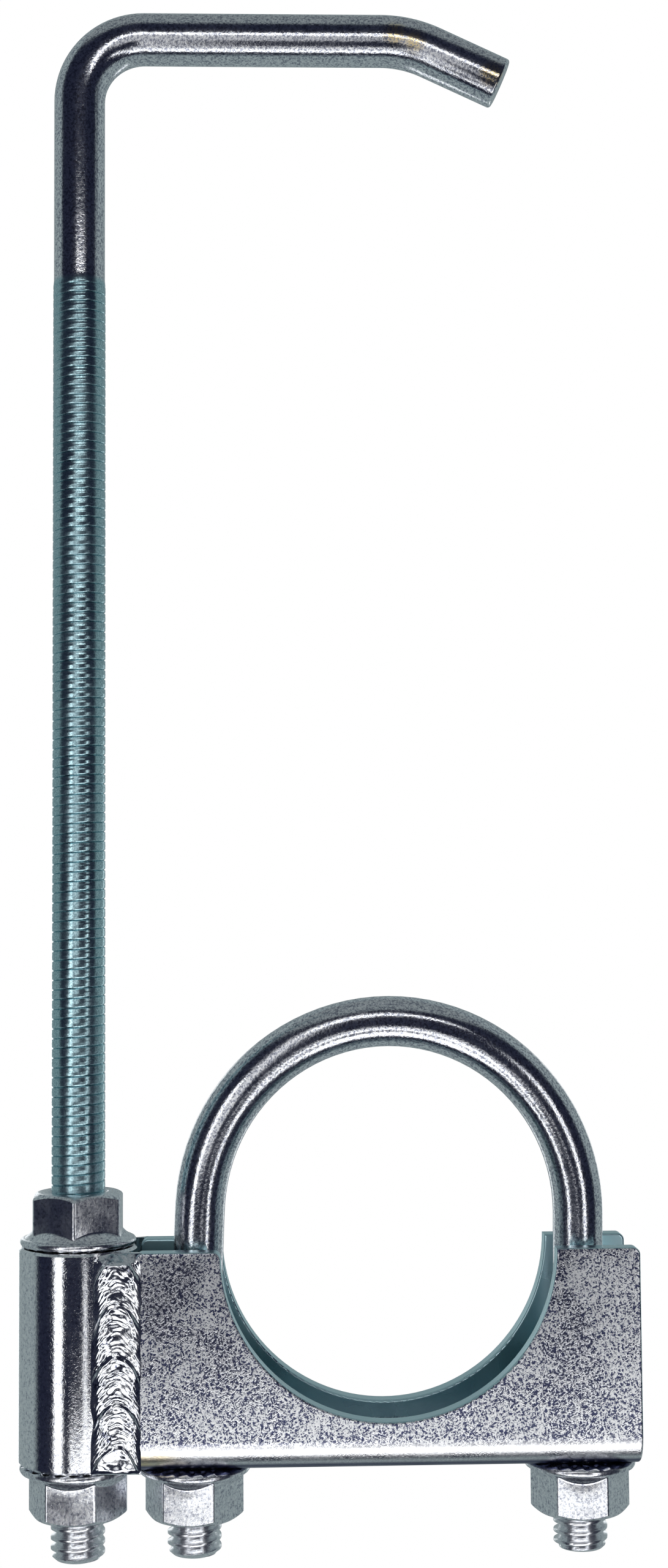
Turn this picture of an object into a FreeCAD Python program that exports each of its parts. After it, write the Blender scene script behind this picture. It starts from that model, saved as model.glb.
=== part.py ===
import FreeCAD, Part

import math
import os

import Sketcher

# U-bolt saddle clamp for a pipe, with a welded side sleeve that carries an
# adjustable hook bolt.  Millimetres, +Z up.
# The origin is the centre of the pipe seat: the seat's axis is Y, the flange
# tops lie in the plane Z = 0, and the long side of the saddle runs along X.

DIMENSIONS = (
    # saddle: a bent channel with a half-round seat cut into both flanges
    ("saddle_length", 72.0, "overall length of the channel"),
    ("saddle_width", 16.5, "over both flanges"),
    ("saddle_height", 31.0, "underside of the web to the flange tops"),
    ("sheet_gauge", 3.0, "thickness of the channel's wall"),
    ("bend_inner_radius", 1.4, "inside radius of both long bends"),
    ("seat_radius", 24.0, "radius of the pipe seat"),
    ("flange_corner_radius", 1.0, "rounding of the flange corners"),
    ("sheet_edge_radius", 0.35, "break on the stamped edges"),
    ("leg_hole_clearance", 0.4, "around the thread, each side"),
    # threads, modelled at their crests
    ("thread_diameter", 7.8, "crest diameter of the 5/16-18 thread"),
    ("thread_end_chamfer", 0.9, "chamfer on the ends of the threads"),
    ("thread_runout", 0.15, "step from the crests down to the shank"),
    # U-bolt
    ("leg_spacing", 56.0, "between the leg axes"),
    ("ubolt_shank_diameter", 7.35, "plain rod of the U-bolt"),
    ("ubolt_lift", 4.1, "arch centre above the seat centre"),
    ("ubolt_thread_length", 28.0, "on each leg"),
    ("ubolt_end_length", 5.1, "thread showing below each clamp nut"),
    # hook bolt
    ("hook_shank_diameter", 7.6, "plain rod of the hook bolt"),
    ("hook_arm_height", 180.3, "arm axis above the flange tops"),
    ("hook_bend_radius", 9.8, "axis radius of the square bend"),
    ("hook_arm_reach", 45.6, "rod axis to the start of the tip bend"),
    ("tip_bend_radius", 18.0, "axis radius of the tip bend"),
    ("tip_bend_angle", 25.0, "degrees that the tip drops"),
    ("tip_length", 11.6, "straight length after the tip bend"),
    ("tip_edge_radius", 0.5, "rounding of the cut end"),
    ("hook_thread_length", 187.4, "thread on the hook bolt"),
    ("hook_end_length", 5.9, "thread showing below the lower nut"),
    # sleeve and welds
    ("sleeve_diameter", 17.1, "outside of the sleeve"),
    ("sleeve_height", 30.7, "length of the sleeve"),
    ("sleeve_bore_clearance", 0.45, "around the thread, each side"),
    ("sleeve_edge_chamfer", 0.4, "break on the sleeve's ends"),
    ("weld_gap", 0.25, "least gap between the sleeve and the saddle's end"),
    ("weld_depth", 3.8, "from the flange face down to the weld root"),
    ("weld_leg", 1.0, "weld laid on to the flange face"),
    ("weld_width", 6.9, "across the face of the bead"),
    ("weld_crown", 0.8, "height of the bead's bulge"),
    # flange nuts
    ("nut_across_flats", 12.5, "all four nuts"),
    ("nut_height", 7.8, "overall height of each nut"),
    ("nut_rim_height", 1.3, "thickness of the flange at its rim"),
    ("nut_cone_height", 2.6, "where the flange's cone meets the flats"),
    ("nut_rim_radius", 0.45, "rounding of the flange's rim"),
    ("nut_top_shrink", 0.35, "chamfer circle inside the flats, each side"),
    ("nut_top_angle", 30.0, "degrees of the corner chamfer"),
    ("nut_bore_clearance", 0.05, "around the thread, each side"),
    ("nut_countersink", 0.45, "chamfer at both ends of the bore"),
    ("hook_nut_flange_diameter", 16.8, "flange of the two hook nuts"),
    ("clamp_nut_flange_diameter", 16.2, "flange of the two clamp nuts"),
    ("nut_gap", 0.3, "least gap between neighbouring nuts"),
    ("upper_hook_nut_turn", 0.0, "degrees the hexagon is turned"),
    ("lower_hook_nut_turn", 25.0, "degrees the hexagon is turned"),
    ("left_clamp_nut_turn", 24.0, "degrees the hexagon is turned"),
    ("right_clamp_nut_turn", 25.5, "degrees the hexagon is turned"),
)

# Places that several pieces share, as expressions of the dimensions above.
LEG_X = "Dims.leg_spacing / 2"
# The hook bolt stands far enough out for the sleeve and the hook nuts to clear the
# saddle's end, and for the lower hook nut to clear the left clamp nut.
BY_SADDLE = (
    "Dims.saddle_length / 2 + Dims.weld_gap"
    " + max(Dims.sleeve_diameter; Dims.hook_nut_flange_diameter) / 2"
)
BY_NUT = (
    f"{LEG_X} + Dims.nut_gap"
    " + (Dims.hook_nut_flange_diameter + Dims.clamp_nut_flange_diameter) / 2"
)
HOOK_X = f"-max({BY_SADDLE}; {BY_NUT})"
WEB_Z = "-Dims.saddle_height"
HOOK_END_Z = "-(Dims.sleeve_height + Dims.nut_height + Dims.hook_end_length)"
LEG_END_Z = "-(Dims.saddle_height + Dims.nut_height + Dims.ubolt_end_length)"

doc = FreeCAD.newDocument("ubolt_hook_clamp")
sheet = doc.addObject("Spreadsheet::Sheet", "Dims")
for row, (alias, value, meaning) in enumerate(DIMENSIONS, start=1):
    sheet.set(f"A{row}", meaning)
    sheet.set(f"B{row}", str(value))
    sheet.setAlias(f"B{row}", alias)
doc.recompute()

UP = FreeCAD.Vector(0, 0, 1)
ON_X_AXIS = -1
ON_Y_AXIS = -2


def evaluate(expression):
    return float(sheet.evalExpression(str(expression).replace("Dims.", "")))


def size(alias):
    return float(sheet.get(alias))


def vec(x, y, z=0.0):
    return FreeCAD.Vector(x, y, z)


# ---------------------------------------------------------------- helpers


def add_body(name):
    body = doc.addObject("PartDesign::Body", name)
    body.Label = name
    return body


def add_sketch(body, name, role, lift=None):
    """A sketch on one of the body's origin planes, raised by an expression."""
    sketch = body.newObject("Sketcher::SketchObject", name)
    plane = next(f for f in body.Origin.OriginFeatures if f.Role == role)
    sketch.AttachmentSupport = [(plane, "")]
    sketch.MapMode = "FlatFace"
    if lift:
        sketch.setExpression("AttachmentOffset.Base.z", lift)
    return sketch


def tie(sketch, kind, *where, to):
    """Adds a dimension to a sketch and ties it to an expression."""
    index = sketch.addConstraint(Sketcher.Constraint(kind, *where, evaluate(to)))
    sketch.setExpression(f"Constraints[{index}]", to)


def place(sketch, item, point, x, y):
    """Holds one point of an item at x, y, measured from the sketch's origin."""
    for kind, value, axis in (("DistanceX", x, ON_Y_AXIS), ("DistanceY", y, ON_X_AXIS)):
        if value == "0":
            sketch.addConstraint(Sketcher.Constraint("PointOnObject", item, point, axis))
        else:
            tie(sketch, kind, -1, 1, item, point, to=value)


def add_circle(sketch, diameter, x="0", y="0"):
    centre = vec(evaluate(x), evaluate(y))
    circle = sketch.addGeometry(Part.Circle(centre, UP, evaluate(diameter) / 2), False)
    place(sketch, circle, 3, x, y)
    tie(sketch, "Diameter", circle, to=diameter)


def add_line(sketch, start, end):
    ends = [vec(evaluate(x), evaluate(y)) for x, y in (start, end)]
    return sketch.addGeometry(Part.LineSegment(*ends), False)


def add_outline(sketch, points):
    """A closed outline of straight lines, each corner held by two expressions."""
    ends = points[1:] + points[:1]
    lines = [add_line(sketch, start, end) for start, end in zip(points, ends)]
    for line, after in zip(lines, lines[1:] + lines[:1]):
        sketch.addConstraint(Sketcher.Constraint("Coincident", line, 2, after, 1))
    for line, (x, y) in zip(lines, points):
        place(sketch, line, 1, x, y)


def add_rod_path(sketch, runs):
    """Straight runs joined by arcs that turn clockwise and leave each run smoothly."""
    lines = []
    for start, end in runs:
        line = add_line(sketch, start, end)
        place(sketch, line, 1, *start)
        place(sketch, line, 2, *end)
        lines.append(line)
    for before, after in zip(lines, lines[1:]):
        first, last = sketch.Geometry[before], sketch.Geometry[after]
        leave, arrive = first.EndPoint, last.StartPoint
        along = (leave - first.StartPoint).normalize()
        inward = vec(along.y, -along.x)
        chord = arrive - leave
        radius = chord.Length ** 2 / (2 * chord.dot(inward))
        centre = leave + inward * radius
        sweep = [math.atan2(p.y - centre.y, p.x - centre.x) for p in (arrive, leave)]
        circle = Part.Circle(centre, UP, radius)
        arc = sketch.addGeometry(Part.ArcOfCircle(circle, *sweep), False)
        sketch.addConstraint(Sketcher.Constraint("Tangent", before, 2, arc, 2))
        sketch.addConstraint(Sketcher.Constraint("Coincident", arc, 1, after, 1))


def pad(body, sketch, name, length, both_ways=False):
    feature = body.newObject("PartDesign::Pad", name)
    feature.Profile = sketch
    feature.setExpression("Length", length)
    feature.Midplane = both_ways
    return feature


def cut_through(body, sketch, name):
    """Cuts a sketch right through, both ways, and makes sure that it did cut."""
    doc.recompute()
    before = body.Shape.Volume
    feature = body.newObject("PartDesign::Pocket", name)
    feature.Profile = sketch
    feature.Type = "ThroughAll"
    feature.Midplane = True
    doc.recompute()
    if body.Shape.Volume > before - 0.01:
        raise RuntimeError(f"{name} cut nothing")
    return feature


def turn(body, kind, sketch, name):
    """A full turn of a sketch about its own vertical axis."""
    feature = body.newObject(f"PartDesign::{kind}", name)
    feature.Profile = sketch
    feature.ReferenceAxis = (sketch, ["V_Axis"])
    feature.Angle = 360
    return feature


def sweep_rod(body, profile, path, name):
    feature = body.newObject("PartDesign::AdditivePipe", name)
    feature.Profile = profile
    edges = [f"Edge{i + 1}" for i in range(path.GeometryCount)]
    feature.Spine = (path, edges)
    return feature


def dress(body, kind, name, amount, wanted):
    """Rounds or chamfers the edges of the body that the wanted test picks."""
    doc.recompute()
    base = body.Tip
    edges = [f"Edge{i + 1}" for i, e in enumerate(base.Shape.Edges) if wanted(e)]
    if not edges:
        raise RuntimeError(f"{name} found no edges")
    feature = body.newObject(f"PartDesign::{kind}", name)
    feature.Base = (base, edges)
    feature.setExpression("Radius" if kind == "Fillet" else "Size", amount)
    return feature


def is_near(value, target):
    return abs(value - target) < 1e-3


def runs_along(edge, axis):
    """True if a straight edge is parallel to the axis, given as a vector."""
    if not isinstance(edge.Curve, (Part.Line, Part.LineSegment)):
        return False
    return abs(edge.tangentAt(edge.FirstParameter).dot(axis)) > 0.999


def is_rim(edge, radius, z=None):
    """True for a level circle of this radius, at height z if one is given."""
    curve = edge.Curve
    if not isinstance(curve, Part.Circle) or not is_near(curve.Radius, radius):
        return False
    return abs(curve.Axis.z) > 0.999 and (z is None or is_near(curve.Center.z, z))


# ---------------------------------------------------------------- the saddle


def make_saddle():
    body = add_body("saddle")
    half, wall = "Dims.saddle_width / 2", "Dims.sheet_gauge"
    inside = f"({half} - {wall})"
    section = add_sketch(body, "saddle_section", "YZ_Plane")
    corners = (
        (f"-{half}", "0"), (f"-{half}", WEB_Z), (half, WEB_Z), (half, "0"),
        (inside, "0"), (inside, f"{WEB_Z} + {wall}"),
        (f"-{inside}", f"{WEB_Z} + {wall}"), (f"-{inside}", "0"),
    )
    add_outline(section, list(corners))
    pad(body, section, "saddle_channel", "Dims.saddle_length", both_ways=True)

    along_x, web = vec(1, 0), -size("saddle_height")
    web_top = web + size("sheet_gauge")

    def long_edge_at(edge, height):
        return runs_along(edge, along_x) and is_near(edge.CenterOfMass.z, height)

    dress(body, "Fillet", "saddle_outer_bends", f"Dims.bend_inner_radius + {wall}",
          lambda edge: long_edge_at(edge, web))
    dress(body, "Fillet", "saddle_inner_bends", "Dims.bend_inner_radius",
          lambda edge: long_edge_at(edge, web_top))

    seat = add_sketch(body, "saddle_seat_circle", "XZ_Plane")
    add_circle(seat, "Dims.seat_radius * 2")
    cut_through(body, seat, "saddle_seat")

    holes = add_sketch(body, "saddle_leg_circles", "XY_Plane", f"{WEB_Z} + {wall} / 2")
    for x in (f"-{LEG_X}", LEG_X):
        add_circle(holes, "Dims.thread_diameter + 2 * Dims.leg_hole_clearance", x)
    cut_through(body, holes, "saddle_leg_holes")

    across = vec(0, 1)
    corner_places = (size("saddle_length") / 2, size("seat_radius"))

    def is_flange_corner(edge):
        at = edge.CenterOfMass
        at_corner = any(is_near(abs(at.x), x) for x in corner_places)
        return runs_along(edge, across) and is_near(at.z, 0) and at_corner

    dress(body, "Fillet", "saddle_corners", "Dims.flange_corner_radius", is_flange_corner)

    faces = [size("saddle_width") / 2, size("saddle_width") / 2 - size("sheet_gauge")]

    def is_flange_edge(edge):
        """Edges that lie in a face of a flange, round its top and its seat."""
        box = edge.BoundBox
        flat = box.YLength < 1e-6
        in_face = any(is_near(abs(box.Center.y), y) for y in faces)
        return flat and in_face and box.ZMax > -size("seat_radius") - 1e-3

    dress(body, "Fillet", "saddle_edges", "Dims.sheet_edge_radius", is_flange_edge)
    return body


# ---------------------------------------------------------------- the sleeve


def make_sleeve():
    body = add_body("sleeve")
    ring = add_sketch(body, "sleeve_ring", "XY_Plane", "-Dims.sleeve_height")
    add_circle(ring, "Dims.sleeve_diameter")
    add_circle(ring, "Dims.thread_diameter + 2 * Dims.sleeve_bore_clearance")
    pad(body, ring, "sleeve_tube", "Dims.sleeve_height")
    outer = size("sleeve_diameter") / 2
    bore = size("thread_diameter") / 2 + size("sleeve_bore_clearance")
    dress(body, "Chamfer", "sleeve_breaks", "Dims.sleeve_edge_chamfer",
          lambda edge: is_rim(edge, outer) or is_rim(edge, bore))
    body.setExpression("Placement.Base.x", HOOK_X)
    return body


def make_weld(name, side):
    """A bead in the valley between the sleeve and the saddle's end.

    side is -1 for the front flange and 1 for the back one.
    """
    body = add_body(name)
    end, face = "(-Dims.saddle_length / 2)", "(Dims.saddle_width / 2)"
    right = f"({end} + Dims.weld_leg)"
    left = f"({right} - Dims.weld_width)"
    root = f"({face} - Dims.weld_depth)"
    on_sleeve = f"sqrt((Dims.sleeve_diameter / 2)^2 - ({left} - ({HOOK_X}))^2)"
    crown = f"({face} + Dims.weld_crown)"
    corners = (
        (left, on_sleeve), (f"{left} + Dims.weld_width / 3", crown),
        (f"{left} + Dims.weld_width * 2 / 3", crown), (right, face),
        (end, face), (end, root), (left, root),
    )
    bead = add_sketch(body, f"{name}_outline", "XY_Plane", "-Dims.sleeve_height")
    add_outline(bead, [(x, f"{side} * {y}") for x, y in corners])
    pad(body, bead, f"{name}_bead", "Dims.sleeve_height")
    tube = add_sketch(body, f"{name}_tube", "XY_Plane", "-Dims.sleeve_height / 2")
    add_circle(tube, "Dims.sleeve_diameter", HOOK_X)
    cut_through(body, tube, f"{name}_sleeve_side")
    return body


# ---------------------------------------------------------------- the two rods


def add_thread(body, name, end, length, x="0"):
    """The crests of a thread as a cylinder from the rod's end, both rims broken."""
    circle = add_sketch(body, f"{name}_circle", "XY_Plane", end)
    add_circle(circle, "Dims.thread_diameter", x)
    pad(body, circle, name, length)
    crest = size("thread_diameter") / 2
    foot = evaluate(end)
    top = foot + evaluate(length)
    dress(body, "Chamfer", f"{name}_point", "Dims.thread_end_chamfer",
          lambda edge: is_rim(edge, crest, foot) and is_near(edge.Curve.Center.x, evaluate(x)))
    dress(body, "Chamfer", f"{name}_runout", "Dims.thread_runout / 2",
          lambda edge: is_rim(edge, crest, top) and is_near(edge.Curve.Center.x, evaluate(x)))


def make_u_bolt():
    body = add_body("u_bolt")
    path = add_sketch(body, "u_bolt_path", "XZ_Plane")
    start = f"{LEG_END_Z} + Dims.thread_end_chamfer"
    add_rod_path(path, (
        ((f"-{LEG_X}", start), (f"-{LEG_X}", "Dims.ubolt_lift")),
        ((LEG_X, "Dims.ubolt_lift"), (LEG_X, start)),
    ))
    profile = add_sketch(body, "u_bolt_rod", "XY_Plane", start)
    add_circle(profile, "Dims.ubolt_shank_diameter", f"-{LEG_X}")
    sweep_rod(body, profile, path, "u_bolt_shank")
    for side, x in (("left", f"-{LEG_X}"), ("right", LEG_X)):
        add_thread(body, f"u_bolt_{side}_thread", LEG_END_Z, "Dims.ubolt_thread_length", x)
    return body


def make_hook_bolt():
    body = add_body("hook_bolt")
    arm, bend = "Dims.hook_arm_height", "Dims.hook_bend_radius"
    tip, angle = "Dims.tip_bend_radius", "Dims.tip_bend_angle"
    tip_x = f"(Dims.hook_arm_reach + {tip} * sin({angle}))"
    tip_z = f"({arm} - {tip} * (1 - cos({angle})))"
    end_x = f"({tip_x} + Dims.tip_length * cos({angle}))"
    end_z = f"({tip_z} - Dims.tip_length * sin({angle}))"
    start = f"{HOOK_END_Z} + Dims.thread_end_chamfer"
    path = add_sketch(body, "hook_bolt_path", "XZ_Plane")
    add_rod_path(path, (
        (("0", start), ("0", f"{arm} - {bend}")),
        ((bend, arm), ("Dims.hook_arm_reach", arm)),
        ((tip_x, tip_z), (end_x, end_z)),
    ))
    profile = add_sketch(body, "hook_bolt_rod", "XY_Plane", start)
    add_circle(profile, "Dims.hook_shank_diameter")
    sweep_rod(body, profile, path, "hook_bolt_shank")
    cut_end = evaluate(end_x)

    def is_tip_edge(edge):
        return isinstance(edge.Curve, Part.Circle) and is_near(edge.Curve.Center.x, cut_end)

    dress(body, "Fillet", "hook_bolt_tip", "Dims.tip_edge_radius", is_tip_edge)
    add_thread(body, "hook_bolt_thread", HOOK_END_Z, "Dims.hook_thread_length")
    body.setExpression("Placement.Base.x", HOOK_X)
    return body


# ---------------------------------------------------------------- the four nuts


def make_flange_nut(name, flange, x, z, hangs):
    """A hexagon flange nut, drawn with its bearing face down at Z = 0.

    hangs turns it over, so that it bears upwards from below.
    """
    body = add_body(name)
    flats, height = "(Dims.nut_across_flats / 2)", "Dims.nut_height"
    corner = f"({flats} / cos(30))"
    hexagon = add_sketch(body, f"{name}_hexagon", "XY_Plane")
    corners = [(f"{corner} * cos({a})", f"{corner} * sin({a})") for a in range(30, 360, 60)]
    corners[1] = ("0", corner)
    corners[4] = ("0", f"-{corner}")
    add_outline(hexagon, corners)
    pad(body, hexagon, f"{name}_flats", height)

    rim = add_sketch(body, f"{name}_flange_half", "XZ_Plane")
    add_outline(rim, [
        ("0", "0"), (f"{flange} / 2", "0"), (f"{flange} / 2", "Dims.nut_rim_height"),
        (flats, "Dims.nut_cone_height"), ("0", "Dims.nut_cone_height")])
    turn(body, "Revolution", rim, f"{name}_flange")
    edge_radius = evaluate(flange) / 2
    dress(body, "Fillet", f"{name}_rim", "Dims.nut_rim_radius",
          lambda edge: is_rim(edge, edge_radius))

    outside = f"({corner} + 1)"
    inside = f"({flats} - Dims.nut_top_shrink)"
    drop = f"(({outside} - {inside}) * tan(Dims.nut_top_angle))"
    ring = add_sketch(body, f"{name}_corner_cut", "XZ_Plane")
    add_outline(ring, [
        (inside, height), (outside, height), (outside, f"{height} - {drop}")])
    turn(body, "Groove", ring, f"{name}_corners")

    bore = add_sketch(body, f"{name}_bore_circle", "XY_Plane")
    add_circle(bore, "Dims.thread_diameter + 2 * Dims.nut_bore_clearance")
    cut_through(body, bore, f"{name}_bore")
    bore_radius = size("thread_diameter") / 2 + size("nut_bore_clearance")
    dress(body, "Chamfer", f"{name}_countersinks", "Dims.nut_countersink",
          lambda edge: is_rim(edge, bore_radius))

    spin = FreeCAD.Rotation(UP, size(f"{name}_turn"))
    flip = FreeCAD.Rotation(vec(1, 0), 180 if hangs else 0)
    body.Placement = FreeCAD.Placement(vec(0, 0), spin * flip)
    for axis, value in (("x", x), ("z", z)):
        if value != "0":
            body.setExpression(f"Placement.Base.{axis}", value)
    return body


def make_nuts():
    hook, clamp = "Dims.hook_nut_flange_diameter", "Dims.clamp_nut_flange_diameter"
    return [
        make_flange_nut("upper_hook_nut", hook, HOOK_X, "0", hangs=False),
        make_flange_nut("lower_hook_nut", hook, HOOK_X, "-Dims.sleeve_height", hangs=True),
        make_flange_nut("left_clamp_nut", clamp, f"-{LEG_X}", WEB_Z, hangs=True),
        make_flange_nut("right_clamp_nut", clamp, LEG_X, WEB_Z, hangs=True),
    ]


# ---------------------------------------------------------------- build and write


def check_document(pieces):
    for item in doc.Objects:
        if {"Invalid", "Error"} & set(item.State):
            raise RuntimeError(f"{item.Name} did not recompute: {item.State}")
    for piece in pieces:
        shape = piece.Shape
        if shape.isNull() or not shape.isValid() or len(shape.Solids) != 1:
            raise RuntimeError(f"{piece.Label} is not one sound solid")


def main():
    pieces = [make_saddle(), make_sleeve()]
    pieces += [make_weld("weld_front", -1), make_weld("weld_back", 1)]
    pieces += [make_u_bolt(), make_hook_bolt()]
    pieces += make_nuts()
    doc.recompute()
    check_document(pieces)
    os.makedirs("parts", exist_ok=True)
    for piece in pieces:
        piece.Shape.exportStep(os.path.join("parts", f"{piece.Label}.step"))
        print(piece.Label, round(piece.Shape.Volume, 1), "cubic mm")


main()
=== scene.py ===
from math import atan, cos, exp, pi, radians, sin, sqrt, tan

import bmesh
import bpy
from mathutils import Matrix, Vector, noise


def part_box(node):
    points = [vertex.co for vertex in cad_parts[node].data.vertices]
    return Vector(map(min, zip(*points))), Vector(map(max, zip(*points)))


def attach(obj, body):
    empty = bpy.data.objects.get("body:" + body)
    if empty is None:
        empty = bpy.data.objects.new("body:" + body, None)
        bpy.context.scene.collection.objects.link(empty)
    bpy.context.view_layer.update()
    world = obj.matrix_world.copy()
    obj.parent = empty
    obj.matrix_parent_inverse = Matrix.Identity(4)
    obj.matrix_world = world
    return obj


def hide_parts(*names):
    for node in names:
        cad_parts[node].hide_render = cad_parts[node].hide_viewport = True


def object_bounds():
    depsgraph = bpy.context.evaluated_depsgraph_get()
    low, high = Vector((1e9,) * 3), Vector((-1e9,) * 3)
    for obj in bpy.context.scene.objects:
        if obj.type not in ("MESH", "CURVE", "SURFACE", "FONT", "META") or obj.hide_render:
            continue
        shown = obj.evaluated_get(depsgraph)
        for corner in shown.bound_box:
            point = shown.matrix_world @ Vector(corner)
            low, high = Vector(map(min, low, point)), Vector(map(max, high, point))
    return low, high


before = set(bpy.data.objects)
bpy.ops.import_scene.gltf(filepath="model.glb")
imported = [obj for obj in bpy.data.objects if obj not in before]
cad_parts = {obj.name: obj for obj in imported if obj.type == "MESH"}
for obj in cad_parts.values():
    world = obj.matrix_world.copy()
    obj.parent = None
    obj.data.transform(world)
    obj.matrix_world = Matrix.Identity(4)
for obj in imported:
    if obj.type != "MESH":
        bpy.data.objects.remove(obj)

CAD_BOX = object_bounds()
MM = 0.001

# Sizes that the CAD boxes don't give, in metres.
MERGE_DISTANCE = 0.002 * MM
PITCH = 25.4 / 18 * MM
THREAD_DEPTH = 0.84 * MM
SHALLOW_DEPTH = 0.24 * MM
THREAD_STEPS = 48
CREST_RADIUS = 3.9 * MM
U_SHANK_RADIUS = 3.675 * MM
HOOK_SHANK_RADIUS = 3.8 * MM
U_THREAD_LENGTH = 28.0 * MM
U_LEAN = 1.2 * MM
U_LEAN_FROM = -20 * MM
U_LEAN_TO = 8 * MM
HOOK_THREAD_TOP = 143.0 * MM
END_CHAMFER = 0.75 * MM
END_CHAMFER_SLOPE = 1.1
CORE_RADIUS = 0.5 * MM
THREAD_BLEND = 4 * PITCH
THREAD_RUN_OUT = 1.6 * PITCH
THREAD_TO_SHANK = 0.4 * MM
U_SHALLOW_FROM = 1.0  # far above the rod: its thread is deep all the way
HOOK_SHALLOW_FROM = -12 * MM

SQUARE_BEND_RADIUS = 9.8 * MM
TIP_BEND_X = 0.8 * MM
TIP_BEND_RADIUS = 18.0 * MM
TIP_BEND_ANGLE = radians(25)
TIP_LENGTH = 11.6 * MM
TIP_EDGE = 0.45 * MM
ARCH_STEPS = 24
SQUARE_BEND_STEPS = 22
TIP_BEND_STEPS = 14

NUT_HALF_FLATS = 6.25 * MM
NUT_CORNER_ROUND = 0.5 * MM
NUT_TOP_SHRINK = 0.35 * MM
NUT_TOP_ANGLE = radians(30)
NUT_RIM_HEIGHT = 1.3 * MM
NUT_CONE_HEIGHT = 2.6 * MM
NUT_BORE_RADIUS = 3.95 * MM
NUT_COUNTERSINK = 0.45 * MM
NUT_COLUMNS = 240
NUT_TEETH = 24
NUT_TOOTH_RISE = 0.8
NUT_TOOTH_DEPTH = 0.26 * MM
NUT_SEAT_GAP = 0.02 * MM
NUT_RECESS = 0.03 * MM
NUT_RIM_ROUND = 0.55 * MM
NUT_RIM_STEPS = 7
NUT_EDGE_BREAK = 0.13 * MM
NUT_DISH = ((0.22, 0.09 * MM), (0.5, 0.14 * MM), (0.78, 0.10 * MM), (0.94, 0.0))

NUTS = {  # node: (body, hexagon turn in degrees, hangs below its seat)
    "upper_hook_nut": ("upper_hook_nut", 0.0, False),
    "lower_hook_nut": ("lower_hook_nut", 25.0, True),
    "left_clamp_nut": ("left_clamp_nut", 24.0, True),
    "right_clamp_nut": ("right_clamp_nut", 25.5, True),
}


# ---------------------------------------------------------------- materials


class Tree:
    """A node tree, with short ways to add the nodes that the finishes and the sky share."""

    def __init__(self, tree):
        self.nodes = tree.nodes
        self.links = tree.links

    def add(self, kind, inputs, **settings):
        """Adds a node; an input is either another node's output or a constant."""
        node = self.nodes.new(kind)
        for key, value in settings.items():
            setattr(node, key, value)
        for key, value in inputs.items():
            if isinstance(value, bpy.types.NodeSocket):
                self.links.new(value, node.inputs[key])
            else:
                node.inputs[key].default_value = value
        return node.outputs[0]

    def math(self, operation, a, b=0.0):
        return self.add("ShaderNodeMath", {0: a, 1: b}, operation=operation)

    def product(self, a, b):
        return self.math("MULTIPLY", a, b)

    def weigh(self, *terms):
        """The sum of values, each given with its share."""
        shares = [self.product(value, share) for value, share in terms]
        total = shares[0]
        for share in shares[1:]:
            total = self.math("ADD", total, share)
        return total

    def step(self, value, low, high, to_low=0.0, to_high=1.0):
        """A smooth change from to_low to to_high as value goes from low to high."""
        inputs = {"Value": value, "From Min": low, "From Max": high,
                  "To Min": to_low, "To Max": to_high}
        return self.add("ShaderNodeMapRange", inputs, interpolation_type="SMOOTHSTEP")

    def mix(self, factor, a, b):
        """Colour a where factor is 0, colour b where it is 1."""
        inputs = {0: factor, 6: a, 7: b}
        return self.add("ShaderNodeMix", inputs, data_type="RGBA").node.outputs[2]

    def split(self, vector):
        return self.add("ShaderNodeSeparateXYZ", {0: vector}).node.outputs

    def add_output(self, kind, surface):
        self.links.new(surface, self.nodes.new(kind).inputs["Surface"])


class Finish(Tree):
    """A metal's node tree, laid out on object coordinates."""

    def __init__(self, name):
        self.material = bpy.data.materials.new(name)
        self.material.use_nodes = True
        super().__init__(self.material.node_tree)
        self.shader = self.nodes["Principled BSDF"]
        self.place = self.nodes.new("ShaderNodeTexCoord").outputs["Object"]

    def grain(self, scale, detail=2.0, rough=0.6, stretch=None, turn=(0, 0, 0)):
        """Noise at a scale in waves per metre, optionally drawn out and turned."""
        place = self.place
        if stretch:
            angles = [radians(angle) for angle in turn]
            turned = self.add("ShaderNodeMapping", {"Vector": place, "Rotation": angles})
            place = self.add("ShaderNodeMapping", {"Vector": turned, "Scale": stretch})
        inputs = {"Vector": place, "Scale": scale, "Detail": detail, "Roughness": rough}
        return self.add("ShaderNodeTexNoise", inputs)

    def cloudy(self, clouds, low, high):
        """A value that drifts from low to high with broad clouds."""
        return self.step(clouds, 0.3, 0.7, low, high)

    def metal(self, colour, roughness, height, distance):
        bump = self.add("ShaderNodeBump", {"Height": height, "Distance": distance, "Strength": 1.0})
        self.shader.inputs["Metallic"].default_value = 1.0
        for key, value in (("Base Color", colour), ("Roughness", roughness), ("Normal", bump)):
            self.links.new(value, self.shader.inputs[key])
        return self.material


BRIGHT = (0.96, 0.97, 0.98, 1)
MIDDLE = (0.76, 0.78, 0.82, 1)
NAVY = (0.07, 0.08, 0.16, 1)
GREY = (0.34, 0.36, 0.43, 1)
CYAN = (0.54, 0.76, 0.81, 1)
TEAL = (0.34, 0.52, 0.57, 1)
GOLD = (0.92, 0.76, 0.46, 1)

# Grain scales, in waves per metre.
PLATE_SPECKLE = 3000
PLATE_NEEDLES = 6000
PLATE_CLOUDS = 140
ROD_SPECKLE = 2800
ROD_WEAR = 4200
ROD_CLOUDS = 120
NUT_SPECKLE = 2300
NUT_MARKS = 2200
NUT_NICKS = 1700
NUT_CLOUDS = 260
WELD_FINE = 2400
WELD_CLOUDS = 420
SLEEVE_SPECKLE = 2200
SLEEVE_NEEDLES = 6400
SLEEVE_CLOUDS = 130

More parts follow.
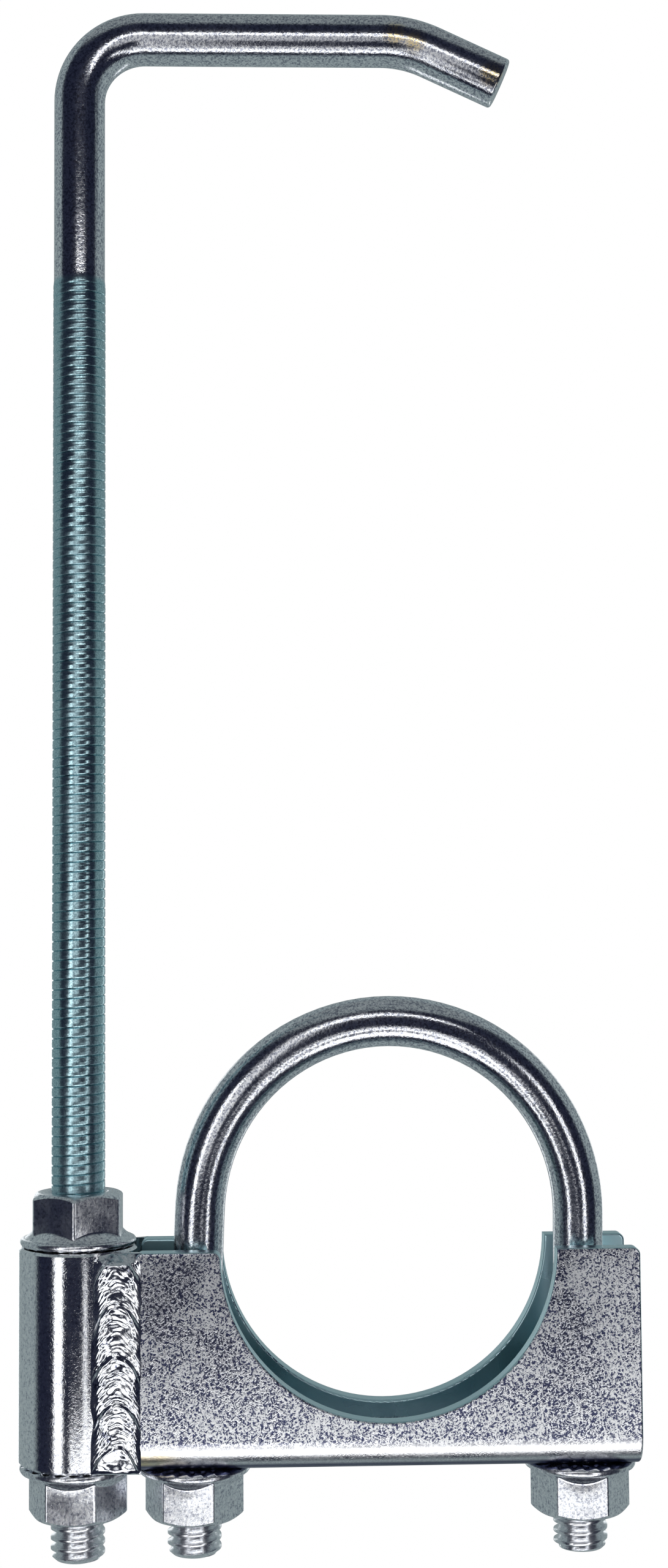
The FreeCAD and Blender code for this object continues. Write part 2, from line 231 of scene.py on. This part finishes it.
# Depths of the grain's relief.
PLATE_RELIEF = 0.016 * MM
ROD_RELIEF = 0.020 * MM
NUT_RELIEF = 0.014 * MM
WELD_RELIEF = 0.022 * MM
SLEEVE_RELIEF = 0.010 * MM

NEEDLE_TURNS = ((0, 12, 0), (0, 68, 20), (0, 128, -35))
NEEDLE_STRETCH = (1, 1, 0.24)
MARK_STRETCH = (1, 1, 0.12)


def needles(graph, scale):
    """Short fine scratches lying in several directions, 0 to 1."""
    total = 0.0
    for turn in NEEDLE_TURNS:
        strokes = graph.grain(scale, 1.0, 0.5, NEEDLE_STRETCH, turn)
        total = graph.math("MAXIMUM", total, graph.step(strokes, 0.52, 0.74))
    return total


def speckled(graph, tone, dark, low=0.38, high=0.64):
    """Darker in the pits, bright on the grain tops."""
    middle = (low + high) / 2
    colour = graph.mix(graph.step(tone, low, middle), dark, MIDDLE)
    return graph.mix(graph.step(tone, middle, high), colour, BRIGHT)


def plate_material():
    """Zinc plate: dense fine needles over a speckle; plain on the cut edges; a painted highlight on
    the lower bend and painted shade along the bottom.
    """
    graph = Finish("zinc_plate_sheet")
    speckle = graph.grain(PLATE_SPECKLE, 2.0, 0.8)
    strokes = needles(graph, PLATE_NEEDLES)
    clouds = graph.grain(PLATE_CLOUDS)
    tone = graph.weigh((speckle, 0.75), (strokes, 0.22), (clouds, 0.12))
    colour = speckled(graph, tone, NAVY, 0.44, 0.56)

    low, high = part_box("saddle")
    x, y, z = graph.split(graph.place)
    depth = graph.math("ABSOLUTE", y)
    cut_edge = graph.product(
        graph.step(depth, high.y - 0.05 * MM, high.y - 0.20 * MM),
        graph.step(z, low.z + 4.2 * MM, low.z + 4.8 * MM))
    colour = graph.mix(cut_edge, colour, CYAN)

    # Painted highlight: the lower bend of the front and back faces is mixed three quarters of the
    # way to bright.
    painted_bend_highlight = graph.product(
        graph.step(z, low.z + 4.6 * MM, low.z + 3.4 * MM),
        graph.step(depth, high.y - 3.0 * MM, high.y - 2.4 * MM))
    colour = graph.mix(graph.product(painted_bend_highlight, 0.75), colour, BRIGHT)

    near_weld = graph.step(x, low.x + 9 * MM, low.x + 1 * MM)
    near_bend = graph.product(
        graph.step(z, low.z + 3.4 * MM, low.z + 2.4 * MM),
        graph.step(z, low.z + 0.4 * MM, low.z + 1.4 * MM))
    heat = graph.product(near_weld, near_bend)
    heat = graph.product(heat, graph.step(clouds, 0.35, 0.6))
    colour = graph.mix(heat, colour, GOLD)

    # Painted shade: the lowest 0.8 mm of the saddle is navy, fading out by 1.5 mm above the bottom.
    painted_shade_underneath = graph.step(z, low.z + 1.5 * MM, low.z + 0.8 * MM)
    colour = graph.mix(painted_shade_underneath, colour, NAVY)

    height = graph.weigh((speckle, 1.0), (strokes, 0.4))
    height = graph.product(height, graph.math("SUBTRACT", 1.0, cut_edge))
    return graph.metal(colour, graph.cloudy(clouds, 0.24, 0.32), height, PLATE_RELIEF)


def rod_material(name, thread_top, heat_marks=()):
    """Zinc on drawn rod: speckled where smooth, cleaner and bluer over the thread."""
    graph = Finish(name)
    speckle = graph.grain(ROD_SPECKLE, 2.0, 0.75)
    wear = graph.step(graph.grain(ROD_WEAR, 1.0), 0.35, 0.65)
    clouds = graph.grain(ROD_CLOUDS)
    height_up = graph.split(graph.place)[2]
    threaded = graph.step(height_up, thread_top + 0.3 * MM, thread_top - 0.8 * MM)
    above_sleeve = graph.step(height_up, -33 * MM, -5 * MM)
    thread_colour = graph.mix(
        above_sleeve, graph.mix(wear, MIDDLE, BRIGHT), graph.mix(wear, TEAL, CYAN))
    colour = graph.mix(threaded, speckled(graph, speckle, GREY), thread_colour)
    for middle, reach in heat_marks:
        offset = graph.add(
            "ShaderNodeVectorMath", {0: graph.place, 1: middle}, operation="DISTANCE")
        patch = graph.step(offset.node.outputs["Value"], reach, reach * 0.3)
        patch = graph.product(patch, graph.step(speckle, 0.40, 0.52))
        colour = graph.mix(patch, colour, GOLD)
    roughness = graph.product(
        graph.cloudy(clouds, 0.13, 0.19), graph.step(threaded, 0.0, 1.0, 1.0, 1.6))
    height = graph.product(speckle, graph.step(threaded, 0.0, 1.0, 1.0, 0.3))
    return graph.metal(colour, roughness, height, ROD_RELIEF)


def nut_material():
    """Zinc nuts: fine speckle with upright forming marks and a few bright nicks."""
    graph = Finish("zinc_nut_pressed")
    speckle = graph.grain(NUT_SPECKLE, 3.0, 0.75)
    marks = graph.grain(NUT_MARKS, 1.0, 0.5, MARK_STRETCH)
    nicks = graph.step(graph.grain(NUT_NICKS, 1.0), 0.68, 0.74)
    clouds = graph.grain(NUT_CLOUDS)
    tone = graph.weigh((speckle, 0.85), (marks, 0.15))
    colour = graph.mix(nicks, speckled(graph, tone, GREY, 0.36, 0.60), BRIGHT)
    height = graph.weigh((speckle, 1.0), (marks, 0.3))
    return graph.metal(colour, graph.cloudy(clouds, 0.18, 0.28), height, NUT_RELIEF)


def weld_material():
    """Plated weld metal: bright, smooth between the ripples, darker in the dips."""
    graph = Finish("zinc_weld")
    clouds = graph.grain(WELD_CLOUDS, 3.0)
    fine = graph.grain(WELD_FINE, 3.0, 0.7)
    tone = graph.weigh((fine, 0.6), (clouds, 0.4))
    colour = speckled(graph, tone, NAVY, 0.34, 0.60)
    return graph.metal(colour, graph.cloudy(clouds, 0.10, 0.18), tone, WELD_RELIEF)


def sleeve_material():
    """Zinc on a turned tube: speckle with sparse fine scratches."""
    graph = Finish("zinc_sleeve_tube")
    speckle = graph.grain(SLEEVE_SPECKLE, 3.0, 0.7)
    strokes = needles(graph, SLEEVE_NEEDLES)
    clouds = graph.grain(SLEEVE_CLOUDS)
    colour = speckled(graph, speckle, GREY, 0.32, 0.60)
    colour = graph.mix(graph.product(strokes, 0.5), colour, BRIGHT)
    height = graph.weigh((speckle, 1.0), (strokes, 0.3))
    return graph.metal(colour, graph.cloudy(clouds, 0.09, 0.13), height, SLEEVE_RELIEF)


# ---------------------------------------------------------------- shared modelling


def put_piece(bm, name, body, material, sharp=38):
    """Turns the bmesh into a finished object that rides on its body and replaces its node."""
    bmesh.ops.remove_doubles(bm, verts=bm.verts, dist=MERGE_DISTANCE)
    bmesh.ops.recalc_face_normals(bm, faces=bm.faces)
    mesh = bpy.data.meshes.new(name)
    bm.to_mesh(mesh)
    bm.free()
    mesh.shade_smooth()
    mesh.set_sharp_from_angle(angle=radians(sharp))
    mesh.materials.append(material)
    piece = bpy.data.objects.new(f"{name}_detail", mesh)
    bpy.context.scene.collection.objects.link(piece)
    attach(piece, body)
    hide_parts(name)
    return piece


def lay_line(bm, points):
    """A chain of edges through the points, to be spun or extruded."""
    verts = [bm.verts.new(point) for point in points]
    return verts + [bm.edges.new(pair) for pair in zip(verts, verts[1:])]


def edges_of(geometry):
    return [item for item in geometry if isinstance(item, bmesh.types.BMEdge)]


def verts_of(geometry):
    return [item for item in geometry if isinstance(item, bmesh.types.BMVert)]


def pull(bm, rim, offset):
    """Draws an open rim of edges out along a straight line."""
    grown = bmesh.ops.extrude_edge_only(bm, edges=rim)["geom"]
    bmesh.ops.translate(bm, verts=verts_of(grown), vec=offset)
    return edges_of(grown)


def bend(bm, rim, centre, axis, angle, steps):
    """Draws an open rim of edges round a centre."""
    grown = bmesh.ops.spin(
        bm, geom=rim, cent=centre, axis=axis, angle=angle, steps=steps, use_duplicate=False)
    return edges_of(grown["geom_last"])


# ---------------------------------------------------------------- threaded rods

THREAD_LINE = (  # share of the pitch, share of the full depth, share of the shallow depth
    (0.00, 0.06, 0.10), (0.05, 0.00, 0.00), (0.26, 0.00, 0.03), (0.31, 0.06, 0.12),
    (0.46, 0.50, 0.04), (0.57, 0.88, 0.10), (0.65, 1.00, 1.00), (0.73, 0.88, 0.30),
    (0.86, 0.46, 0.02))


def thread_radius(full, shallow, z, end_z, top_z, shank, shallow_from):
    """The surface radius: full thread low down, shallow higher up, run out at the top."""
    blend = min(max((z - shallow_from) / THREAD_BLEND, 0), 1)
    depth = full * THREAD_DEPTH * (1 - blend) + shallow * SHALLOW_DEPTH * blend
    run_out = min(max((top_z - z) / THREAD_RUN_OUT, 0), 1)
    crest = shank + (CREST_RADIUS - shank) * min(run_out * 2, 1)
    chamfered = CREST_RADIUS - END_CHAMFER + (z - end_z) * END_CHAMFER_SLOPE
    return min(crest - depth * run_out, max(chamfered, CORE_RADIUS))


def cut_thread(bm, x, end_z, top_z, shank, shallow_from):
    """A screw surface from the rod's end, closed below, with its rim just above top_z."""
    full = bm.verts.layers.float.new("full")
    shallow = bm.verts.layers.float.new("shallow")
    start = end_z - 1.5 * PITCH
    shares = [share for share, _, _ in THREAD_LINE] + [1]
    line = lay_line(bm, [(x + CREST_RADIUS, 0, start + share * PITCH) for share in shares])
    for vert, (_, deep, low) in zip(verts_of(line), (*THREAD_LINE, THREAD_LINE[0])):
        vert[full] = deep
        vert[shallow] = low
    bmesh.ops.spin(
        bm, geom=line, cent=(x, 0, 0), axis=(0, 0, 1), angle=2 * pi, steps=THREAD_STEPS,
        dvec=(0, 0, PITCH / THREAD_STEPS), use_duplicate=False)
    turns = 1
    while turns * PITCH < top_z - start + PITCH:
        more = bmesh.ops.duplicate(bm, geom=[*bm.verts, *bm.edges, *bm.faces])["geom"]
        bmesh.ops.translate(bm, verts=verts_of(more), vec=(0, 0, turns * PITCH))
        turns *= 2
    bmesh.ops.remove_doubles(bm, verts=bm.verts, dist=MERGE_DISTANCE)
    for z, keep_up in ((end_z, True), (top_z, False)):
        bmesh.ops.bisect_plane(
            bm, geom=[*bm.verts, *bm.edges, *bm.faces], dist=0.001 * MM, plane_co=(0, 0, z),
            plane_no=(0, 0, 1), clear_inner=keep_up, clear_outer=not keep_up)
    for vert in bm.verts:
        arm = Vector((vert.co.x - x, vert.co.y, 0))
        arm.length = thread_radius(
            vert[full], vert[shallow], vert.co.z, end_z, top_z, shank, shallow_from)
        vert.co = Vector((x, 0, vert.co.z)) + arm
    open_edges = [edge for edge in bm.edges if edge.is_boundary]
    lower = [edge for edge in open_edges if edge.verts[0].co.z < end_z + 0.01 * MM]
    upper = [edge for edge in open_edges if edge.verts[0].co.z > top_z - 0.01 * MM]
    bmesh.ops.edgeloop_fill(bm, edges=lower)
    place = Matrix.Translation((x, 0, top_z + THREAD_TO_SHANK))
    ring = bmesh.ops.create_circle(bm, segments=THREAD_STEPS, radius=shank, matrix=place)
    rim = list({edge for vert in ring["verts"] for edge in vert.link_edges})
    bmesh.ops.bridge_loops(bm, edges=upper + rim)
    return rim


def lean(x, z, half_width):
    """How far the U-bolt's upper part stands to the right, more on its left side."""
    rise = min(max((z - U_LEAN_FROM) / (U_LEAN_TO - U_LEAN_FROM), 0), 1)
    return U_LEAN * rise * rise * (3 - 2 * rise) * (0.5 - x / (4 * half_width))


def make_u_bolt(material):
    low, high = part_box("u_bolt")
    leg_x = (high.x - low.x) / 2 - CREST_RADIUS
    arch_z = high.z - U_SHANK_RADIUS - leg_x
    thread_top = low.z + U_THREAD_LENGTH
    bm = bmesh.new()
    rim = cut_thread(bm, -leg_x, low.z, thread_top, U_SHANK_RADIUS, U_SHALLOW_FROM)
    rim = pull(bm, rim, (0, 0, arch_z - thread_top - THREAD_TO_SHANK))
    bend(bm, rim, (0, 0, arch_z), (0, 1, 0), pi / 2, ARCH_STEPS)
    other = bmesh.ops.duplicate(bm, geom=[*bm.verts, *bm.edges, *bm.faces])["geom"]
    bmesh.ops.rotate(bm, verts=verts_of(other), cent=(0, 0, 0), matrix=Matrix.Rotation(pi, 3, "Z"))
    for vert in bm.verts:
        vert.co.x += lean(vert.co.x, vert.co.z, leg_x)
    return put_piece(bm, "u_bolt", "u_bolt", material)


def hook_axis_x():
    low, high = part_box("sleeve")
    return (low.x + high.x) / 2


def make_hook_bolt(material):
    low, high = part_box("hook_bolt")
    x = hook_axis_x()
    arm_z = high.z - HOOK_SHANK_RADIUS
    bend_z = arm_z - SQUARE_BEND_RADIUS
    bm = bmesh.new()
    rim = cut_thread(bm, x, low.z, HOOK_THREAD_TOP, HOOK_SHANK_RADIUS, HOOK_SHALLOW_FROM)
    rim = pull(bm, rim, (0, 0, bend_z - HOOK_THREAD_TOP - THREAD_TO_SHANK))
    centre = (x + SQUARE_BEND_RADIUS, 0, bend_z)
    rim = bend(bm, rim, centre, (0, 1, 0), pi / 2, SQUARE_BEND_STEPS)
    rim = pull(bm, rim, (TIP_BEND_X - x - SQUARE_BEND_RADIUS, 0, 0))
    centre = (TIP_BEND_X, 0, arm_z - TIP_BEND_RADIUS)
    rim = bend(bm, rim, centre, (0, 1, 0), TIP_BEND_ANGLE, TIP_BEND_STEPS)
    along = Vector((cos(TIP_BEND_ANGLE), 0, -sin(TIP_BEND_ANGLE)))
    rim = pull(bm, rim, along * TIP_LENGTH)
    bmesh.ops.edgeloop_fill(bm, edges=rim)
    bmesh.ops.bevel(
        bm, geom=rim, offset=TIP_EDGE, segments=4, profile=0.5, affect="EDGES", material=-1)
    return put_piece(bm, "hook_bolt", "hook_bolt", material)


# ---------------------------------------------------------------- flange nuts


def hexagon_radius(angle):
    """Distance from the axis to a hexagon with rounded corners, one corner at angle 0."""
    off = (angle + pi / 6) % (pi / 3) - pi / 6
    middle = (NUT_HALF_FLATS - NUT_CORNER_ROUND) / cos(pi / 6)
    reach = atan(NUT_CORNER_ROUND * 0.5 / (middle + NUT_CORNER_ROUND * cos(pi / 6)))
    if abs(off) < reach:
        return middle * cos(off) + sqrt(NUT_CORNER_ROUND ** 2 - (middle * sin(off)) ** 2)
    return NUT_HALF_FLATS / cos(pi / 6 - abs(off))


def crowd_corners(angle):
    """Moves evenly spaced columns closer together near the hexagon's corners."""
    sector = round(angle / (pi / 3))
    share = (angle - sector * pi / 3) / (pi / 6)
    return sector * pi / 3 + (0.35 * share + 0.65 * share ** 3) * pi / 6


def tooth_drop(angle):
    """Height of the ratchet teeth under the flange: a slow rise, then a quick fall."""
    share = (angle * NUT_TEETH / (2 * pi)) % 1
    if share < NUT_TOOTH_RISE:
        return NUT_SEAT_GAP + NUT_TOOTH_DEPTH * share / NUT_TOOTH_RISE
    return NUT_SEAT_GAP + NUT_TOOTH_DEPTH * (1 - share) / (1 - NUT_TOOTH_RISE)


def nut_levels(flange):
    """The nut's outline as levels, each a rule for its radius and height."""
    chamfer_top = NUT_HALF_FLATS - NUT_TOP_SHRINK
    mouth = NUT_BORE_RADIUS + NUT_COUNTERSINK
    rim_z = NUT_RIM_HEIGHT / 2 + 0.10 * MM
    slope = (NUT_CONE_HEIGHT - NUT_RIM_HEIGHT) / (flange - NUT_RIM_ROUND - NUT_HALF_FLATS)

    def cone(radius):
        return NUT_CONE_HEIGHT - (radius - NUT_HALF_FLATS) * slope

    def top(radius, height):
        return height - (radius - chamfer_top) * tan(NUT_TOP_ANGLE)

    def plain(radius, z):
        return lambda hexa, tooth, height: (radius, z)

    def toothed(radius, rise=0.0):
        return lambda hexa, tooth, height: (radius, tooth + rise)

    def under_top(radius, drop):
        return lambda hexa, tooth, height: (radius, height - drop)

    def dish(share, sag):
        outer = flange - NUT_RIM_ROUND * 1.25

        def level(hexa, tooth, height):
            radius = outer + (hexa - outer) * share
            return radius, cone(radius) - sag

        return level

    rim_turns = [radians(-50 + 150 * step / (NUT_RIM_STEPS - 1)) for step in range(NUT_RIM_STEPS)]
    return [
        under_top(NUT_BORE_RADIUS, NUT_COUNTERSINK),
        plain(NUT_BORE_RADIUS, NUT_COUNTERSINK),
        plain(mouth, NUT_RECESS),
        plain(flange - 2.4 * MM, NUT_RECESS),
        toothed(flange - 2.2 * MM),
        toothed(flange - 0.55 * MM),
        toothed(flange - 0.42 * MM, 0.05 * MM),
        *[plain(flange - NUT_RIM_ROUND + NUT_RIM_ROUND * cos(turn),
                rim_z + (NUT_RIM_ROUND + 0.02 * MM) * sin(turn)) for turn in rim_turns],
        *[dish(share, sag) for share, sag in NUT_DISH],
        lambda hexa, tooth, height: (hexa, cone(hexa) + 0.14 * MM),
        lambda hexa, tooth, height: (hexa, (cone(hexa) + top(hexa, height)) / 2),
        lambda hexa, tooth, height: (hexa, top(hexa, height) - NUT_EDGE_BREAK),
        lambda hexa, tooth, height: (
            hexa - NUT_EDGE_BREAK, top(hexa - NUT_EDGE_BREAK, height) - 0.01 * MM),
        under_top(chamfer_top + 0.10 * MM, 0.07 * MM),
        under_top(chamfer_top - 0.10 * MM, 0.0),
        under_top(mouth, 0.0),
        under_top(NUT_BORE_RADIUS, NUT_COUNTERSINK),
    ]


def make_nut(node, material):
    body, turn, hangs = NUTS[node]
    low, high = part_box(node)
    height = high.z - low.z
    flange = (high.x - low.x) / 2
    levels = nut_levels(flange)
    bm = bmesh.new()
    level_of = bm.verts.layers.int.new("level")
    line = lay_line(bm, [(flange, 0, step * MM) for step in range(len(levels))])
    for index, vert in enumerate(verts_of(line)):
        vert[level_of] = index
    bmesh.ops.spin(
        bm, geom=line, cent=(0, 0, 0), axis=(0, 0, 1), angle=2 * pi, steps=NUT_COLUMNS,
        use_merge=True, use_duplicate=False)
    for vert in bm.verts:
        angle = crowd_corners(Vector((1, 0)).angle_signed(vert.co.xy) % (2 * pi))
        radius, z = levels[vert[level_of]](hexagon_radius(angle), tooth_drop(angle), height)
        vert.co = (radius * cos(angle), radius * sin(angle), z)
    flip = Matrix.Rotation(pi if hangs else 0, 4, "X")
    spin = Matrix.Rotation(radians(turn) - pi / 2, 4, "Z")
    place = Matrix.Translation(((low.x + high.x) / 2, 0, high.z if hangs else low.z))
    bmesh.ops.transform(bm, verts=bm.verts, matrix=place @ spin @ flip)
    return put_piece(bm, node, body, material, sharp=32)


# ---------------------------------------------------------------- weld beads

WELD_ROWS = 300
WELD_COLUMNS = 70
WELD_ARCH = 4.4 * MM
WELD_CROWN = 1.0 * MM
WELD_SWELL = 0.42 * MM
WELD_RIPPLE = 0.065 * MM
WELD_RIPPLE_LENGTH = 0.75 * MM
WELD_CRATER = 0.45 * MM
WELD_CRATER_RIM = 0.28 * MM
WELD_LUMPS = 0.10 * MM
WELD_ROOT_HOLLOW = 1.3 * MM
WELD_LEFT_WANDER = 0.8 * MM
WELD_RIGHT_WANDER = 0.3 * MM
PUDDLES = (0.0, 0.215, 0.445, 0.665, 0.86)  # where each puddle starts, as a share of the way down


def ramp(value, slope):
    """A straight rise from 0 that stops at 1."""
    return min(max(value, 0) * slope, 1)


def weld_height(u, way, length):
    """Height of the bead above its chord, across (u, -1 to 1) and down (way, 0 to 1)."""
    wander = noise.noise(Vector((u * 1.3, way * 9, 3.1)))
    down = way - WELD_ARCH * u * u / length + 0.012 * wander
    puddle = max([start for start in PUDDLES if start <= max(down, 0)])
    following = min([start for start in PUDDLES if start > puddle] + [1.04])
    into = (down - puddle) / (following - puddle)
    shape = WELD_SWELL * exp(-2.4 * max(into, 0)) * ramp(into, 9)
    if puddle == PUDDLES[-1]:
        shape -= WELD_CRATER * exp(-((into - 0.45) / 0.26) ** 2 - (u / 0.55) ** 2)
        shape += WELD_CRATER_RIM * exp(-((into - 0.86) / 0.10) ** 2) * (1 - u * u)
    else:
        shake = 0.7 * noise.noise(Vector((u * 2.2, way * 26, 8.0)))
        phase = (down * length / WELD_RIPPLE_LENGTH + shake) % 1
        shape += WELD_RIPPLE * (1 - phase) * ramp(phase, 5)
    shape += WELD_LUMPS * noise.noise(Vector((u * 3.0, way * 34, 1.7)))
    return WELD_CROWN * (1 - u * u) + shape * ramp(1 - abs(u), 3)


def make_weld(node, side, material):
    """side is -1 for the front bead and 1 for the back one."""
    low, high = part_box(node)
    sleeve_low, sleeve_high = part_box("sleeve")
    saddle_low, saddle_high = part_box("saddle")
    length = high.z - low.z
    axis_x = (sleeve_low.x + sleeve_high.x) / 2
    tube = (sleeve_high.x - sleeve_low.x) / 2
    left_x = low.x - 0.35 * MM
    right_x = saddle_low.x + 0.9 * MM
    left_y = sqrt(tube ** 2 - (left_x - axis_x) ** 2) - 0.10 * MM
    right_y = saddle_high.y - 0.12 * MM
    bm = bmesh.new()
    bmesh.ops.create_grid(bm, x_segments=WELD_COLUMNS, y_segments=WELD_ROWS, size=1)
    for vert in bm.verts:
        u, way = vert.co.x, (1 - vert.co.y) / 2
        wander, seed = (WELD_LEFT_WANDER, 5.5) if u < 0 else (WELD_RIGHT_WANDER, 2.5)
        edge_wave = wander * noise.noise(Vector((way * 9, seed, 0)))
        share = (u + 1) / 2
        x = left_x + (right_x - left_x) * share + edge_wave * abs(u) ** 3
        chord = left_y + (right_y - left_y) * share
        taper = min(way / 0.05, 1) ** 0.5 * min((1 - way) / 0.025, 1) ** 0.5
        hollow = WELD_ROOT_HOLLOW * exp(-(way / 0.035) ** 2) * (1 - u * u)
        y = chord + weld_height(u, way, length) * taper - hollow
        vert.co = (x, side * y, high.z - way * length)
    rim = [edge for edge in bm.edges if edge.is_boundary]
    grown = bmesh.ops.extrude_edge_only(bm, edges=rim)["geom"]
    middle_x = (tube + axis_x + saddle_low.x) / 2
    middle_y = (low.y + high.y) / 2
    for vert in verts_of(grown):
        vert.co.x = middle_x + (vert.co.x - middle_x) * 0.45
        vert.co.y = middle_y
    bmesh.ops.edgeloop_fill(bm, edges=edges_of(grown))
    return put_piece(bm, node, "clamp", material, sharp=60)


# ---------------------------------------------------------------- stage, light and camera


FLOOR_DROP = 0.12
FLOOR_HALF_SIZE = 3.0


def make_floor():
    """A wide pale lightbox floor, well below the part."""
    low = CAD_BOX[0]
    place = Matrix.Translation((0, 0, low.z - FLOOR_DROP))
    bm = bmesh.new()
    bmesh.ops.create_grid(bm, x_segments=1, y_segments=1, size=FLOOR_HALF_SIZE, matrix=place)
    mesh = bpy.data.meshes.new("floor")
    bm.to_mesh(mesh)
    bm.free()
    material = bpy.data.materials.new("pale_floor")
    material.use_nodes = True
    tree = Tree(material.node_tree)
    tree.nodes.clear()
    glow = tree.add("ShaderNodeEmission", {})
    tree.add_output("ShaderNodeOutputMaterial", glow)
    mesh.materials.append(material)
    floor = bpy.data.objects.new("floor", mesh)
    floor.visible_glossy = False
    floor.visible_diffuse = False
    bpy.context.scene.collection.objects.link(floor)


FRONT_LAMPS = {  # name: (x from and to, z from and to, brightness), upright in front of the part
    "lamp_left": (-180 * MM, -118 * MM, -200 * MM, -18 * MM, 1.4),
    "lamp_left_upper": (-150 * MM, -108 * MM, -18 * MM, 100 * MM, 1.8),
    "lamp_right": (84 * MM, 122 * MM, -200 * MM, 70 * MM, 1.4),
    "lamp_fill": (-90 * MM, -34 * MM, 0 * MM, 112 * MM, 0.6),
    "lamp_fill_upper": (-100 * MM, 12 * MM, 112 * MM, 178 * MM, 0.4),
    "lamp_face": (-4 * MM, 20 * MM, -62 * MM, -26 * MM, 0.7),
    "lamp_bottom": (-5 * MM, 110 * MM, -84 * MM, -65 * MM, 1.6),
    "lamp_corner": (-74 * MM, -5 * MM, -112 * MM, -65 * MM, 1.4),
    "lamp_low": (-110 * MM, 130 * MM, -330 * MM, -145 * MM, 1.9),
}
FAR_LAMPS = {  # the same, just in front of the camera
    "lamp_top": (-90 * MM, 110 * MM, 193 * MM, 216 * MM, 3.0),
    "lamp_line": (-90 * MM, 110 * MM, -158 * MM, -138 * MM, 1.6),
}
BACK_LAMPS = {  # the same, behind the part
    "lamp_back_left": (-170 * MM, -100 * MM, -150 * MM, 110 * MM, 0.7),
    "lamp_back_right": (130 * MM, 200 * MM, -150 * MM, 110 * MM, 0.7),
}
FAR_LAMP_Y = -270 * MM
FRONT_LAMP_Y = -158 * MM
BACK_LAMP_Y = 300 * MM


def make_lamps(lamps, y, tilt):
    """Soft light panels standing upright at y; the camera doesn't see them."""
    for name, (left, right, low, high, brightness) in lamps.items():
        data = bpy.data.lights.new(name, "AREA")
        data.shape = "RECTANGLE"
        data.size = right - left
        data.size_y = high - low
        data.energy = 4 * brightness * data.size * data.size_y
        lamp = bpy.data.objects.new(name, data)
        lamp.location = ((left + right) / 2, y, (low + high) / 2)
        lamp.rotation_euler = (tilt, 0, 0)
        lamp.visible_camera = False
        bpy.context.scene.collection.objects.link(lamp)


SKY_FRONT = (0.015, 0.018, 0.035, 1)
SKY_BEHIND = (0.27, 0.32, 0.33, 1)
SKY_ABOVE = (0.22, 0.25, 0.26, 1)
SKY_SEEN = (1, 1, 1, 1)


def make_world():
    """Dark in front of the part, plain grey behind and above; white where it is seen."""
    world = bpy.data.worlds.new("studio")
    bpy.context.scene.world = world
    world.use_nodes = True
    sky = Tree(world.node_tree)
    sky.nodes.clear()
    x, y, z = sky.split(sky.nodes.new("ShaderNodeTexCoord").outputs["Generated"])
    azimuth = sky.product(sky.math("ARCTAN2", x, sky.product(y, -1.0)), 180 / pi)
    elevation = sky.product(sky.math("ARCSINE", z), 180 / pi)
    aside = sky.math("ABSOLUTE", azimuth)
    colour = sky.mix(sky.step(aside, 78, 88), SKY_FRONT, SKY_BEHIND)
    colour = sky.mix(sky.step(elevation, 52, 60), colour, SKY_ABOVE)
    camera_ray = sky.nodes.new("ShaderNodeLightPath").outputs["Is Camera Ray"]
    colour = sky.mix(camera_ray, colour, SKY_SEEN)
    sky.add_output("ShaderNodeOutputWorld", sky.add("ShaderNodeBackground", {"Color": colour}))


CAMERA_PLACE = (-0.0170, -0.3025, 0.0468)
CAMERA_FORWARD = (0.03272, 0.99722, 0.06695)
CAMERA_RIGHT = (0.99945, -0.03232, -0.00708)
CAMERA_LENS = 46.95
CAMERA_SENSOR = 36


def make_camera():
    data = bpy.data.cameras.new("camera")
    data.sensor_width = CAMERA_SENSOR
    data.lens = CAMERA_LENS
    data.clip_start = 0.01
    forward = Vector(CAMERA_FORWARD)
    up = Vector(CAMERA_RIGHT).cross(forward).normalized()
    right = forward.cross(up).normalized()
    turn = Matrix((right, up, -forward.normalized())).transposed()
    camera = bpy.data.objects.new("camera", data)
    camera.matrix_world = Matrix.Translation(CAMERA_PLACE) @ turn.to_4x4()
    bpy.context.scene.collection.objects.link(camera)
    bpy.context.scene.camera = camera


# ---------------------------------------------------------------- build


def heat_marks():
    """Yellow tints on the front of the hook's tip: middles and reaches."""
    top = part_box("hook_bolt")[1].z
    front = -HOOK_SHANK_RADIUS
    return (
        ((TIP_BEND_X + 2 * MM, front, top - 4.2 * MM), 2.4 * MM),
        ((TIP_BEND_X + 5 * MM, front, top - 5.2 * MM), 2.2 * MM),
        ((TIP_BEND_X + 16.5 * MM, front, top - 10.2 * MM), 2.4 * MM))


def build():
    u_thread_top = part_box("u_bolt")[0].z + U_THREAD_LENGTH
    make_u_bolt(rod_material("zinc_rod_u_bolt", u_thread_top))
    make_hook_bolt(rod_material("zinc_rod_hook", HOOK_THREAD_TOP, heat_marks()))
    nut_finish = nut_material()
    for node in NUTS:
        make_nut(node, nut_finish)
    weld_finish = weld_material()
    make_weld("weld_front", -1, weld_finish)
    make_weld("weld_back", 1, weld_finish)
    for node, finish in (("saddle", plate_material()), ("sleeve", sleeve_material())):
        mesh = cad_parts[node].data
        mesh.materials.clear()
        mesh.materials.append(finish)


build()
make_floor()
make_world()
make_lamps(FRONT_LAMPS, FRONT_LAMP_Y, pi / 2)
make_lamps(FAR_LAMPS, FAR_LAMP_Y, pi / 2)
make_lamps(BACK_LAMPS, BACK_LAMP_Y, -pi / 2)
make_camera()
bpy.context.scene.view_settings.view_transform = "Standard"
